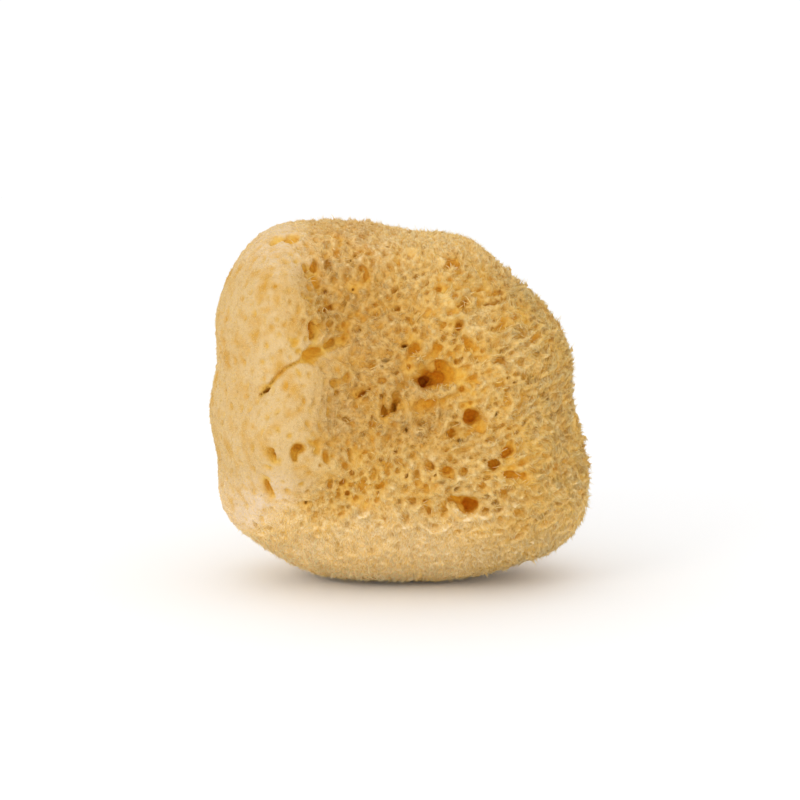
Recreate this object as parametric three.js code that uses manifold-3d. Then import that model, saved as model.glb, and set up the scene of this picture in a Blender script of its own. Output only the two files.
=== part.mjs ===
// A natural wool sea sponge, trimmed flat underneath so that it stands by itself.
// Millimetres, +Z up. The origin is the middle of the footprint, on the surface it stands on.
// The broad face with the large breathing holes looks towards -Y.

import * as THREE from "three";
import { mergeVertices } from "three/addons/utils/BufferGeometryUtils.js";
import Module from "manifold-3d";

const wasm = await Module();
wasm.setup();

// Driving dimensions of the body.
const MIDDLE_HEIGHT = 60; // the height that the body is shaped around
const FRONT_DEPTH = 46; // from the middle plane to the broad face
const BACK_DEPTH = 44;
const SQUARENESS = 0.84; // 1 gives an ellipsoid, less gives flatter faces and rounder shoulders
const SKIN_DETAIL = 17; // splits of each icosahedron edge
const OUTLINE_SAMPLES = 360;

// The front outline: x and z of the points its lobes and dips need, anticlockwise from the right.
const OUTLINE = [
  [59, 62], [60, 72], [57, 83], [48, 95], [35, 106], [22, 115], [5, 118], [-9, 121],
  [-28, 121], [-44, 117], [-54, 106], [-60, 90], [-60, 74], [-63, 56], [-61, 40], [-58, 23],
  [-45, 10], [-26, 1], [0, -2], [30, 1], [53, 8], [64, 21], [65, 37], [61, 50],
];

// Lobes and hollows: a point by the skin, how far the swelling spreads, and how high it stands.
const LOBES = [
  { at: [-39, -46, 99], spread: 12, height: 10 }, // smooth upper left lobe
  { at: [-38, -48, 54], spread: 14, height: 10 }, // smooth lower left lobe
  { at: [-13, -46, 96], spread: 12, height: -6 }, // hollow beside the upper lobe
  { at: [8, -46, 68], spread: 15, height: -5 }, // dish around the main holes
  { at: [38, -44, 88], spread: 14, height: 3 }, // right shoulder
  { at: [42, -42, 38], spread: 15, height: 4 }, // lower right lobe
  { at: [-28, 44, 84], spread: 18, height: 6 }, // back lobes
  { at: [28, 44, 40], spread: 18, height: 6 },
  { at: [4, 46, 64], spread: 12, height: -6 }, // saddle between the back lobes
  { at: [28, 44, 90], spread: 11, height: 4 },
  { at: [-34, 40, 30], spread: 12, height: 4 },
  { at: [4, 20, 116], spread: 10, height: -3 }, // dip across the top
];

// Creases: half width, depth, and the points that the crease runs through by the skin.
const CREASES = [
  // between the two smooth lobes, and along the right side of each
  { width: 3.5, depth: 7, through: [[-50, -38, 64], [-42, -44, 70], [-31, -47, 79], [-19, -45, 83]] },
  { width: 5, depth: 4, through: [[-23, -34, 110], [-23, -46, 97], [-20, -46, 88]] },
  { width: 6, depth: 4, through: [[-14, -46, 76], [-18, -48, 66], [-16, -50, 54]] },
  // across the back
  { width: 7, depth: 5, through: [[-56, 30, 60], [-30, 42, 57], [-6, 46, 62]] },
];

// Breathing holes: a point by the skin, the mouth's width and height, the depth, and the turn in degrees.
const HOLES = [
  { at: [11, -60, 74], width: 12, height: 8, depth: 13, turn: 20 },
  { at: [24, -60, 61], width: 7.5, height: 8, depth: 10, turn: 0 },
  { at: [18, -60, 54], width: 6, height: 5, depth: 8, turn: 30 },
  { at: [21, -60, 33], width: 8.5, height: 5.5, depth: 9, turn: 0 },
  { at: [-3, -60, 63], width: 5, height: 7, depth: 8, turn: 0 },
  { at: [6, -60, 82], width: 5, height: 6, depth: 7, turn: -20 },
  { at: [-27, -60, 81], width: 9, height: 5, depth: 8, turn: 15 },
  { at: [17, -32, 112], width: 5.5, height: 5, depth: 7, turn: 0 },
  { at: [16, 60, 82], width: 11, height: 9, depth: 12, turn: -30 },
  { at: [28, 60, 68], width: 7, height: 6, depth: 9, turn: 10 },
  { at: [-16, 60, 44], width: 8, height: 6, depth: 9, turn: 40 },
  { at: [-34, 55, 66], width: 6, height: 5, depth: 8, turn: 0 },
  { at: [75, 6, 84], width: 7, height: 6, depth: 8, turn: 0 },
  { at: [-75, 10, 78], width: 7, height: 6, depth: 8, turn: 0 },
  { at: [-16, 6, 140], width: 8, height: 7, depth: 9, turn: 0 },
];
const HOLE_SIDES = 14;
const HOLE_RINGS = 4;
const HOLE_REACH = 12; // how far a hole's cutter stands out of the skin
const HOLE_FLARE = 1.5; // how much wider the cutter is at its outer end

const TRIM_SIZE = 400; // larger than the whole body

const skinMaterial = new THREE.MeshStandardMaterial({ color: 0xe0bd7c, roughness: 0.95, metalness: 0 });

// Distance from the middle of the body to the outline, for an angle from +X towards +Z.
function outlineRadiusFunction() {
  const corners = OUTLINE.map(([x, z]) => new THREE.Vector3(x, z - MIDDLE_HEIGHT, 0));
  const curve = new THREE.CatmullRomCurve3(corners, true, "centripetal");
  const samples = curve.getPoints(OUTLINE_SAMPLES).map((point) => ({
    angle: Math.atan2(point.y, point.x),
    radius: Math.hypot(point.x, point.y),
  }));
  samples.sort((a, b) => a.angle - b.angle);
  return (angle) => {
    const next = samples.findIndex((sample) => sample.angle > angle);
    const after = next === -1 ? samples[0] : samples[next];
    const before = samples.at(next === -1 ? -1 : next - 1);
    const fullTurn = 2 * Math.PI;
    const gap = (after.angle - before.angle + fullTurn) % fullTurn;
    const share = gap === 0 ? 0 : ((angle - before.angle + fullTurn) % fullTurn) / gap;
    return THREE.MathUtils.lerp(before.radius, after.radius, share);
  };
}

// A point of the unit sphere, moved out to the body before it has lobes.
function roundedPoint(direction, outlineRadius) {
  const across = Math.hypot(direction.x, direction.z);
  const angle = Math.atan2(direction.z, direction.x);
  const reach = outlineRadius(angle) * across ** SQUARENESS;
  const depth = direction.y < 0 ? -FRONT_DEPTH : BACK_DEPTH;
  return new THREE.Vector3(
    reach * Math.cos(angle),
    depth * Math.abs(direction.y) ** SQUARENESS,
    MIDDLE_HEIGHT + reach * Math.sin(angle),
  );
}

function bell(distance, spread) {
  return Math.exp(-0.5 * (distance / spread) ** 2);
}

function distanceToPath(point, path) {
  const nearest = new THREE.Vector3();
  let best = Infinity;
  for (let i = 0; i + 1 < path.length; i += 1) {
    new THREE.Line3(path[i], path[i + 1]).closestPointToPoint(point, true, nearest);
    best = Math.min(best, nearest.distanceTo(point));
  }
  return best;
}

// How far the lobes and creases push the skin out at a point.
function swelling(point, creasePaths) {
  let height = 0;
  for (const lobe of LOBES) {
    height += lobe.height * bell(point.distanceTo(new THREE.Vector3(...lobe.at)), lobe.spread);
  }
  CREASES.forEach((crease, i) => {
    height -= crease.depth * bell(distanceToPath(point, creasePaths[i]), crease.width);
  });
  return height;
}

// Keeps the positions only, with shared corners, so that the mesh is closed.
function closedMesh(geometry) {
  geometry.deleteAttribute("normal");
  geometry.deleteAttribute("uv");
  return mergeVertices(geometry);
}

function pathOf(crease) {
  return crease.through.map((corner) => new THREE.Vector3(...corner));
}

function lobedSkin() {
  const outlineRadius = outlineRadiusFunction();
  const creasePaths = CREASES.map(pathOf);
  const skin = closedMesh(new THREE.IcosahedronGeometry(1, SKIN_DETAIL));
  const corners = skin.getAttribute("position");
  const direction = new THREE.Vector3();
  for (let i = 0; i < corners.count; i += 1) {
    direction.fromBufferAttribute(corners, i).normalize();
    const point = roundedPoint(direction, outlineRadius);
    point.addScaledVector(direction, swelling(point, creasePaths));
    corners.setXYZ(i, point.x, point.y, point.z);
  }
  return skin;
}

function nearestCorner(geometry, target) {
  const corners = geometry.getAttribute("position");
  const corner = new THREE.Vector3();
  const nearest = new THREE.Vector3();
  let best = Infinity;
  for (let i = 0; i < corners.count; i += 1) {
    const distance = corner.fromBufferAttribute(corners, i).distanceTo(target);
    if (distance < best) {
      best = distance;
      nearest.copy(corner);
    }
  }
  return nearest;
}

// A blunt bullet that points into the body, with its mouth on the skin and its height up the body.
function holeCutter(hole, skin) {
  const profile = [];
  for (let ring = 0; ring <= HOLE_RINGS; ring += 1) {
    const angle = (Math.PI / 2) * (ring / HOLE_RINGS);
    profile.push(new THREE.Vector2(Math.sin(angle), -hole.depth * Math.cos(angle)));
  }
  profile[0].x = 0;
  profile.push(new THREE.Vector2(HOLE_FLARE, HOLE_REACH), new THREE.Vector2(0, HOLE_REACH));
  const cutter = new THREE.LatheGeometry(profile, HOLE_SIDES);
  cutter.rotateX(Math.PI / 2);
  cutter.scale(hole.width / 2, hole.height / 2, 1);
  cutter.rotateZ(THREE.MathUtils.degToRad(hole.turn));
  const mouth = nearestCorner(skin, new THREE.Vector3(...hole.at));
  const outward = mouth.clone().sub(new THREE.Vector3(0, 0, MIDDLE_HEIGHT)).normalize();
  const across = new THREE.Vector3(-outward.y, outward.x, 0).normalize();
  const up = new THREE.Vector3().crossVectors(outward, across);
  cutter.applyMatrix4(new THREE.Matrix4().makeBasis(across, up, outward));
  cutter.translate(mouth.x, mouth.y, mouth.z);
  return closedMesh(cutter);
}

// Everything below the surface that the sponge stands on.
function baseTrimmer() {
  const block = new THREE.BoxGeometry(TRIM_SIZE, TRIM_SIZE, TRIM_SIZE);
  block.translate(0, 0, -TRIM_SIZE / 2);
  return closedMesh(block);
}

function toManifold(geometry) {
  return new wasm.Manifold(new wasm.Mesh({
    numProp: 3,
    vertProperties: new Float32Array(geometry.getAttribute("position").array),
    triVerts: new Uint32Array(geometry.getIndex().array),
  }));
}

function fromManifold(solid) {
  const { vertProperties, triVerts } = solid.getMesh();
  const geometry = new THREE.BufferGeometry();
  geometry.setAttribute("position", new THREE.BufferAttribute(vertProperties, 3));
  geometry.setIndex(new THREE.BufferAttribute(triVerts, 1));
  return geometry;
}

function centreOnFootprint(geometry) {
  geometry.computeBoundingBox();
  const centre = geometry.boundingBox.getCenter(new THREE.Vector3());
  geometry.translate(-centre.x, -centre.y, -geometry.boundingBox.min.z);
}

function spongeGeometry() {
  const skin = lobedSkin();
  let solid = toManifold(skin).subtract(toManifold(baseTrimmer()));
  for (const hole of HOLES) {
    solid = solid.subtract(toManifold(holeCutter(hole, skin)));
  }
  const geometry = fromManifold(solid);
  centreOnFootprint(geometry);
  geometry.computeVertexNormals();
  return geometry;
}

const sponge = new THREE.Mesh(spongeGeometry(), skinMaterial);
sponge.name = "sponge";

const part = new THREE.Group();
part.add(sponge);

export default part;
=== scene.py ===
"""A wool sea sponge: pores, breathing holes, tufts and fuzz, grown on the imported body.

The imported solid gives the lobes, the creases and the flat cut underneath. Here it becomes a field of
distances on a fine grid, negative inside the sponge. Pores and breathing holes are cut into the field,
tufts are raised between them, and the field is turned back into one closed mesh. Fibres of real
geometry then grow on it. Lengths are in millimetres, and meshes are turned into metres when they are
made. Only the floor, the lamps and the camera are placed in metres.
"""

import itertools
import math
from typing import NamedTuple

import bpy
import numpy as np
import openvdb
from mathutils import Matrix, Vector
from mathutils.kdtree import KDTree


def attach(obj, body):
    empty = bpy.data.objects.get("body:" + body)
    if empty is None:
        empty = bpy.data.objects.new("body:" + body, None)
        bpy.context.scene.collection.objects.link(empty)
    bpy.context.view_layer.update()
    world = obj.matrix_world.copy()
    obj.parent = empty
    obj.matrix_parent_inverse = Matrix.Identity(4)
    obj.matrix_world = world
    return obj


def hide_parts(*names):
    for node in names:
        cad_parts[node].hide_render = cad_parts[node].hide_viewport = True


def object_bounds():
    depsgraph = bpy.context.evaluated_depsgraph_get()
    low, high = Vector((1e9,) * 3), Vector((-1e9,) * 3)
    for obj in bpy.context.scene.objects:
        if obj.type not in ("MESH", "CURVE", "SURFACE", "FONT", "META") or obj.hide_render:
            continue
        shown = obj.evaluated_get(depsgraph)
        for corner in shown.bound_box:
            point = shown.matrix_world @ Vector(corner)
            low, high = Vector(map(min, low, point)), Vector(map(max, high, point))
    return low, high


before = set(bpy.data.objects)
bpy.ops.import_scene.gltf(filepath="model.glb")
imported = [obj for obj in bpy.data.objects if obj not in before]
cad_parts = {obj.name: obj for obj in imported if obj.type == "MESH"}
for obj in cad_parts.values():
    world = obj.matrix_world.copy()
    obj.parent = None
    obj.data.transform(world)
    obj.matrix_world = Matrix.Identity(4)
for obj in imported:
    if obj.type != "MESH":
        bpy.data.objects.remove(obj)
cad_box = [list(corner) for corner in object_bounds()]

MM = 0.001
SEED = 11
NODE = "sponge"

# The grid of distances.
CELL = 0.6
MARGIN = 8.0  # empty space kept round the body
INNER_BAND = 14.0  # how deep inside the body distances are known
LOW = np.floor((np.array(cad_box[0]) / MM - MARGIN) / CELL).astype(int)
HIGH = np.ceil((np.array(cad_box[1]) / MM + MARGIN) / CELL).astype(int)
SHAPE = tuple(HIGH - LOW + 1)
FAR = 50.0  # a distance larger than any that matters
AXES = [(np.arange(n) + low) * CELL for n, low in zip(SHAPE, LOW)]
GRID = np.meshgrid(*[axis.astype(np.float32) for axis in AXES], indexing="ij", sparse=True)
BLUR_REACH = 2.5  # a blur reaches this many times its spread
TINY = 1e-9

# The skin before it has pores.
CLOSING = 5.0  # breathing holes up to twice this wide are filled, and cut again in full detail
SKIN_BLUR = 1.4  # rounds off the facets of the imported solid
UNDER_FUZZ = 1.7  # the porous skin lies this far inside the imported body, and its fuzz reaches past it
UNDER_FELT = 0.4  # the same for the smooth lobes
SKIN_STEPS = 5  # steps that move a point onto the skin
FLOOR_GAP = 0.25  # the fuzz underneath reaches this much lower than the body

# Triangle budgets, for the body and for each piece of fuzz.
BODY_TRIANGLES = 196000
FUZZ_TRIANGLES = 196000

# Where the smooth lobes on the left end: x of the edge at some heights, seen from the front.
EDGE_HEIGHTS = (14, 27, 34, 43, 65, 81, 87, 118)
EDGE_PLACES = (-56, -42, -32, -23, -25, -18, -30, -30)
EDGE_WAVES = ((1.6, 0.31, 1.0), (1.0, 0.83, 0.0))  # height, rate and start of the edge's wobbles
EDGE_BLEND = 9.0
EDGE_DEPTH = 22.0  # the smooth lobes reach this far round to the back
EDGE_DEPTH_WAVE = (4.0, 0.2)
EDGE_DEPTH_BLEND = 8.0

# The combed right flank: x where it begins and where it is full, and its edge's wobble.
COMBED_SIDE = (30.0, 46.0)
COMBED_WAVE = (4.0, 0.15)

# The band low down, whose fuzz is short and dense and which painted light makes pale: heights where it
# begins and where it is full, and its edge's wobble. It reaches higher below the smooth lobes, fades to
# the right, and comes back weakly over the top.
LOW_BAND = (39.0, 17.0)
LOW_WAVE = (2.0, 0.2)
LOW_RISE = 7.0
LOW_RISE_SIDE = (-20.0, -40.0)
LOW_FADE = 0.6
LOW_FADE_SIDE = (10.0, 40.0)
TOP_BAND = (100.0, 114.0)
TOP_SHARE = 0.45

# The painted shade of the hollow middle of the broad face, which darkens it to brown: its foot, its head,
# where the shade is half as strong, its slanting right side and how far back it reaches.
HOLLOW_SHADE_FOOT = (42.0, 56.0)
HOLLOW_SHADE_HEAD = (102.0, 116.0)
HOLLOW_SHADE_HEAD_FADE = 0.5
HOLLOW_SHADE_SIDE = (28.0, 2.0)
HOLLOW_SHADE_SLANT = 0.5
HOLLOW_SHADE_SLANT_HEIGHT = 70.0
HOLLOW_SHADE_BACK = (20.0, -10.0)

# Breathing holes of the front: x and height of the mouth, its width and height, the depth, its turn in
# degrees, and the lean: how far the hole shifts to the right and up for each millimetre that it goes in.
# The turn and the lean are 0 where they are left out.
FRONT_HOLES = [
    # the main hole is four joined ones: deep at the lower left, a lobe upward and a shallow right end
    ((12.5, 73), (12, 6), 7.2, 10, (-0.42, -0.14)),
    ((9, 72), (7, 5.8), 13, 20, (-0.2, -0.14)),
    ((13.5, 76), (5.4, 5.6), 5.5, 10, (-0.3, -0.3)),
    ((15.5, 72), (4.6, 4.2), 3, -20, (-0.3, 0)),
    # the second hole, with the slit below it
    ((24, 60), (7.4, 7.2), 6.5, -15, (-0.4, -0.1)),
    ((23, 60), (5.4, 5.6), 8, -15, (-0.1, -0.14)),
    ((26, 57.5), (4, 5), 3.4, 10, (-0.3, 0.1)),
    ((17, 55.5), (5, 4), 4.4, 20, (-0.1, 0.1)),
    ((19.5, 53.5), (2, 5.2), 9, -50, (0.1, -0.2)),
    # the heart-shaped hole low on the right
    ((17.5, 34), (5.6, 2.8), 4.8, 0, (0, -0.2)),
    ((22, 33), (8, 4.8), 9, 0, (-0.05, -0.32)),
    ((21.5, 31), (3.8, 4.2), 9, 0, (0, -0.3)),
    # the pair on the left of the main hole, with a wall between
    ((-1.5, 65), (3.4, 7.8), 6.5, -8, (0.1, -0.3)),
    ((-5, 62), (2.8, 8), 4.6, 12, (0, -0.1)),
    # pockets round them
    ((5, 82), (4.6, 6.4), 4.2, -15, (0, -0.2)),
    ((1.5, 83), (3.2, 1.6), 6, 35, (-0.2, 0)),
    ((12, 82), (4.8, 3.4), 3.4),
    ((22, 84), (6.6, 3.2), 3.8, -20, (0.2, -0.2)),
    ((19, 89), (2.8, 3.4), 4.2),
    ((7.5, 64), (8.4, 5), 3.4, 0, (0.2, 0.1)),
    ((0.5, 70), (4.4, 3.2), 3, -20),
    ((-12, 68), (4.8, 2.6), 4.5, 25),
    # the row of three above the heart, and the cluster on its right
    ((9, 45), (4.4, 3), 4.6, -15, (0.2, 0)),
    ((15, 43), (4, 3.2), 4.6),
    ((20, 43), (2.6, 2.4), 3.6),
    ((34, 49), (5.4, 3.8), 5.5, 20, (0.2, 0)),
    ((30, 45), (4, 3.8), 6, -20),
    ((35, 42), (6.4, 2.6), 4.5, -15),
    # in and by the smooth lobes
    ((-27, 80), (11, 4.8), 4.6, 14, (0.2, 0.3)),
    ((-21, 83), (7, 3), 3.4, 24, (0, 0.2)),
    ((-27, 88), (5.2, 7), 4.5, -14, (-0.2, -0.1)),
    ((-33, 84), (2.4, 2.2), 2.4, 30),
    ((-43, 69), (3.8, 2), 6, 35, (0, -0.14)),
    ((-40, 49), (2.8, 4.6), 5),
    ((-32, 51), (4.6, 3.6), 6, 20),
    ((-33, 48), (1.8, 4.6), 3, 5),
    ((-42, 37), (3, 8.4), 4, 12),
]

# Small holes of the front: x and height of the mouth, its width and height, and its turn in degrees.
SMALL_HOLES = [
    # in and round the hollow beside the upper lobe
    (-14, 111, 2.4, 7, -45), (-12, 116, 3.6, 2.8), (-21, 116, 2.8, 3),
    (-20, 111, 2, 2.4), (-23, 108, 1.8, 4.6, -10), (-27, 107, 2.4, 5),
    (-30, 106, 1.6, 3), (-27, 102, 2.2, 5, 5), (-17, 103, 1.8, 6.4, 24),
    (-11, 104, 1.8, 4.8, -12), (-12, 107, 2.6, 2.2), (-10, 111, 2, 2.4),
    (-4, 113, 2.2, 1.8), (5, 104, 2, 1.4, 30), (-1, 100, 4, 1.4, 40),
    (-1, 94, 3.6, 2.8, 15), (2, 91, 4.2, 2.4), (-24, 99, 2.2, 2.6),
    (-15, 100, 2, 3), (-23, 94, 5.4, 2.2, 15), (-8, 95, 2, 2),
    (-8, 92, 2.2, 1.4), (-13, 87, 1.8, 1.8), (-18, 84, 2.4, 2.4),
    # left of the main hole
    (-3, 84, 3.2, 1.6, 15), (-4, 81, 2.2, 2.4), (-4, 78, 3, 1.8, 15),
    (-9, 76, 2, 2), (3, 76, 2.2, 2.6), (-1, 74, 2.2, 2.6),
    (-6, 72, 2.4, 2.2), (-6, 67, 3, 2.2, -10), (-17, 72, 2.4, 2.4),
    (-21, 71, 2.2, 1.8, -30), (-10, 62, 2.2, 2), (-9, 58, 2.8, 2.6, -20),
    (-12, 55, 2, 2.2), (-16, 59, 4.4, 1.2, -30), (-12, 49, 4.6, 1.4, 12),
    (-2, 49, 2.8, 1.8, 15), (-6, 47, 2, 2.6), (0, 46, 2, 2.6),
    (7, 58, 3.2, 2.2), (2, 56, 2.6, 2.2), (18, 58, 3, 2, 20),
    # golden ones by the edge of the lower lobe
    (-26, 53, 2, 2), (-23, 48, 2.2, 3.6, 10), (-17, 45, 2.6, 3.2, 10),
    (-15, 42, 2.4, 2.6), (-18, 39, 3.8, 3.2, -35), (-12, 39, 1.8, 4, -20),
    (-14, 34, 2.4, 3.2, -10), (-7, 36, 3.4, 2.4, 25), (-8, 43, 2, 3.6),
    (-22, 39, 1.6, 2.8, -10), (-30, 32, 2.8, 2.8), (-11, 32, 1.4, 4, -35),
    # the right flank, stretched along the combed tufts
    (37, 92, 6.4, 2.2, 38), (49, 86, 6, 1.6, -10), (39, 86, 4.4, 1.8, 25),
    (43, 84, 4.8, 1.4, 20), (32, 88, 2.8, 1.4, 30), (28, 88, 2, 2),
    (30, 83, 2.6, 1.6, 20), (34, 80, 3.2, 1.8, 20), (26, 79, 4.6, 1.8, 5),
    (44, 79, 4.6, 1.2, 25), (39, 77, 3.2, 2.8), (34, 72, 2.6, 1.4, 30),
    (37, 71, 2.4, 1.2, 20), (44, 71, 3.6, 1.4, 10), (32, 70, 3, 1.8, 5),
    (40, 66, 4.6, 2.4, 5), (34, 65, 3.8, 2, -30), (37, 60, 3.4, 2),
    (20, 95, 3.4, 1.6, 20), (24, 98, 2.4, 1.6), (33, 94, 2, 1.8),
    (28, 53, 4.6, 1.6, 5), (24, 48, 3, 1.2, 35),
    # low on the front
    (5, 42, 2.6, 3.4), (8, 38, 2, 3, -5), (2, 38, 2, 2.4),
    (11, 38, 5, 1.6, 25), (4, 33, 2.2, 2.8, -20), (8, 33, 2, 2.4),
    (0, 33, 2, 3.6), (9, 30, 1.8, 3.6), (14, 30, 2, 2.2),
    (2, 28, 1.8, 2.8), (11, 25, 3, 1.2), (26, 38, 2.4, 3.2, 10),
    (33, 36, 2.6, 2.8), (27, 30, 2.4, 1.6), (30, 33, 2, 1.6),
    (38, 29, 2, 2.6, -25), (40, 41, 2.6, 4.2, 10),
]
SMALL_HOLE_DEPTH = 1.2  # and this share of its narrower side more
SMALL_HOLE_DEPTH_SHARE = 0.7

# Holes elsewhere: a point by the skin, then as in the front holes.
OTHER_HOLES = [
    ((18, -25, 111), (5.8, 5.6), 6, 0, (0.1, 0.1)),
    ((-35, -20, 118), (6.4, 6), 4, 12),
    ((-41, -19, 117), (6, 5.6), 3.5),
    ((16, 38, 82), (11, 9), 13, -30, (0.2, 0.1)),
    ((22, 38, 78), (7, 6), 7, 10, (0.2, 0.1)),
    ((28, 42, 66), (7, 6), 10, 10),
    ((34, 40, 58), (4, 5), 6),
    ((-16, 44, 44), (8.4, 6), 10, 40, (0, 0.2)),
    ((-21, 44, 49), (5, 4), 6, 10),
    ((-34, 40, 67), (6, 5), 8),
    ((-8, 40, 96), (4.6, 7), 6, 20),
    ((10, 42, 30), (6, 4), 6),
    ((59, 5, 79), (7, 6), 8),
    ((60, -8, 44), (4, 5), 6),
    ((-60, 9, 74), (7, 6), 8),
    ((-58, -12, 44), (3.6, 4.6), 5),
    ((-16, 6, 120), (8, 7), 9),
    ((12, 4, 117), (4, 5), 6),
]

# Small swells and hollows of the front: a point by the skin, spread and height.
SWELLS = [
    ((-17, -40, 78.5), 3, 2.8),  # the lip under the pocket of the crease
    ((-29, -42, 74), 4, 2),
    ((-25, -40, 92), 4.5, 1.2),  # the fold above it
    ((-35, -40, 80), 4, 1),
    ((-25, -34, 107), 3.8, -2.8),  # the hollow on its right
    ((-23, -36, 99), 3.8, -3),
    ((-19, -38, 91), 3.8, -2.4),
    ((-10, -38, 95), 8, -2.4),
    ((-13, -40, 74), 4, -2.2),
    ((-17, -42, 66), 4, -2.8),
    ((-19, -42, 58), 4, -2.2),
    ((12.5, -42, 68.2), 3, 1.8),  # the ridges between the main holes
    ((1.5, -42, 73), 3, 0.8),
    ((20, -42, 67), 3, 1),
    ((14, -42, 50), 4, 1),
    ((26, -42, 51), 4, 0.9),
    ((12, -40, 38), 4, 0.8),
    ((2, -42, 56), 4, -0.8),
    ((62, -5, 50), 9, 2),  # the outline, as seen from the front
    ((18, -6, 118), 9, 1.2),
    ((34, -6, 108), 8, 0.8),
    ((-62, -6, 44), 7, -1.2),
    ((42, -10, 14), 8, -1),
]
SWELL_REACH = 3.0  # a swell's field reaches this many times its spread

# The crease between the smooth lobes: its points by the skin, its width and its depth.
CREASE = [(-44, 67), (-42, 69), (-39, 73), (-36, 76), (-32, 78), (-27, 81)]
CREASE_WIDTH = 1.5
CREASE_DEPTH = 2.2

UP = (0.0, 0.0, 1.0)
BACKWARD = (0.0, 1.0, 0.0)
LEVEL_SKIN = 0.95  # skin that faces up or down more than this is level, and its up is backward

# Bores, which are pores and breathing holes.
BORE_TAPER = 0.5  # the share of its width that a bore loses on the way in
BORE_ROUNDING = 0.6  # how round the bottom is, as a share of the narrower half width
FLARE_DEPTH = 2.0  # a rim's flare reaches this many times its own size into the bore
FLARE_LIMIT = 2.0  # and grows to this many times its size outside the skin
HOLE_FLARE = 0.45  # how much a breathing hole opens at its rim
HOLE_BLEND = 1.2  # how far joined holes melt into each other
HOLE_MARGIN = 4.0  # how far round a hole its field is known
PORE_FLARE = 0.35
PORE_MARGIN = 1.5
BORE_EDGE = 0.4  # rounds off the edge where a bore leaves the skin

# Random places on the skin, which pores and tufts are picked from.
CANDIDATES = 90000
PORE_SPACING = (1.5, 3.2)
PORE_PATCHES = (9.0, 8)  # size and seed of the patches where pores are closer together or further apart
PORE_CROWDING = 0.3
TUFT_SPACING = (1.4, 2.3)
TUFT_CLEARANCE = 0.3  # tufts stand this far from a bore

# Pores run from small to large, with more small ones than large.
PORE_SIZE_POWER = 1.8
PORE_RADIUS = 0.5
PORE_RADIUS_RANGE = 0.8
PORE_DEPTH = 1.2
PORE_DEPTH_RANGE = 1.8
PORE_STRETCH = 1.1  # pores are longer by up to the square of this
PORE_LEAN = 0.3
PORE_TURN = 0.5  # how much pores vary from the way most of them are turned, in radians
PORE_TURN_CALM = 0.5  # how much less they do on the combed flank
PORE_LEVEL_SIDE = (-5.0, 25.0)  # x where pores turn from upright to lying along the combed flank
PORE_LEVEL_TURN = 0.4

# Tufts of the skin, as cones, and the fibres' tufts above them.
TUFT_HEIGHT = (0.9, 1.9)
TUFT_WIDTH = (0.7, 1.1)
TUFT_SLOPE = 0.8  # turns the distance across a cone into the distance from it
TUFT_BLEND = 0.5
TUFT_LIFT = (1.1, 2.1)
TUFT_SWEEP = (0.3, 1.5)
TUFT_STRAY = 0.7
TUFT_STRAY_CALM = 0.45
TUFT_REACH = 2.6  # fibres nearer than this to a tuft lean to its tip
TUFT_NEAR = 0.3  # the share of that reach in which they lean to it fully

# What each region adds to a size, or takes off it: millimetres for spacings, shares for the rest.
PORE_SPACING_CHANGES = {"smooth": 1.4, "combed": 0.4, "low": 1.6}
PORE_RADIUS_CHANGES = {"combed": -0.1, "low": -0.4, "smooth": -0.2}
PORE_DEPTH_CHANGES = {"combed": -0.4, "low": -0.4, "smooth": -0.55, "hollow_shade": -0.35}
PORE_STRETCH_CHANGES = {"combed": 0.6}
TUFT_SPACING_CHANGES = {"smooth": 1.6, "combed": 0.6}
TUFT_HEIGHT_CHANGES = {"smooth": -0.65, "low": -0.65, "combed": -0.2}
TUFT_LIFT_CHANGES = {"smooth": -0.45, "low": -0.5, "combed": -0.15}
TUFT_SWEEP_CHANGES = {"combed": 1.0, "low": 1.0}
PULL_CHANGES = {"low": -0.6}
SWIRL_CHANGES = {"combed": 0.4}
FIBRE_SPREAD_CHANGES = {"combed": -0.06, "low": -0.08}
FIBRE_LENGTH_CHANGES = {"combed": 0.35, "low": 0.5, "smooth": -0.5}
FIBRE_WIDTH_CHANGES = {"low": -0.15, "smooth": -0.3, "combed": 0.2}
FIBRE_TONE_CHANGES = {"low": 0.05, "smooth": 0.2}

# Random unevenness: height, size and seed of each layer of lumps.
PORE_LUMPS = [(0.3, 1.3, 7)]
HOLE_LUMPS = [(0.6, 2.6, 5), (0.5, 1.4, 6)]
BROAD_LUMPS = [(0.9, 11.0, 1)]
FINE_LUMPS = [(0.9, 4.5, 2)]
SKIN_LUMPS = [(0.4, 2.0, 3), (0.25, 1.3, 4)]
SMOOTH_LUMPS_SHARE = 0.2  # how uneven the smooth lobes are, against the porous rest
LOW_LUMPS_FADE = 0.6

# Lips: the swollen rims of breathing holes, which are highest under a hole.
LIP_HEIGHT = 0.4
LIP_HEIGHT_BELOW = 0.9
LIP_BELOW = (0.1, 0.8)  # how steeply the way to the hole goes up, from beside it to under it
LIP_REACH = (2.2, 0.6)

# Ridges of combed tufts on the right flank, which run up to the right and wander.
RIDGE_HEIGHT = 0.35
RIDGE_SPACING = 2.7
RIDGE_SLOPE = 0.45
RIDGE_WANDER = [(2.2, 7.0, 9)]
RIDGE_PATCHES = (5.0, 10)  # size and seed of the patches that have ridges
RIDGE_FADE = (-0.5, 0.3)

# The way fibres are combed.
FLOW_MIDDLE = (8.0, 0.0, 62.0)  # they point away from here
FLOW_WAVES = [(0, 0.07, 0.11, 0), (0.09, 0, 0, 0), (0.13, 0.05, 0, 1)]  # rates by x, y and z, and start
FLOW_SWIRL = 0.6
FLOW_CALM = 0.7  # how much less they swirl on the flank and low down
COMBED_LIFT = 0.4
COMBED_WAY = (0.3, 0.0, 1.0)
HANGING_HEIGHTS = (36.0, 20.0)  # heights where the fuzz starts to hang down and where it hangs fully
HANGING_PULL = 2.0

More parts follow.
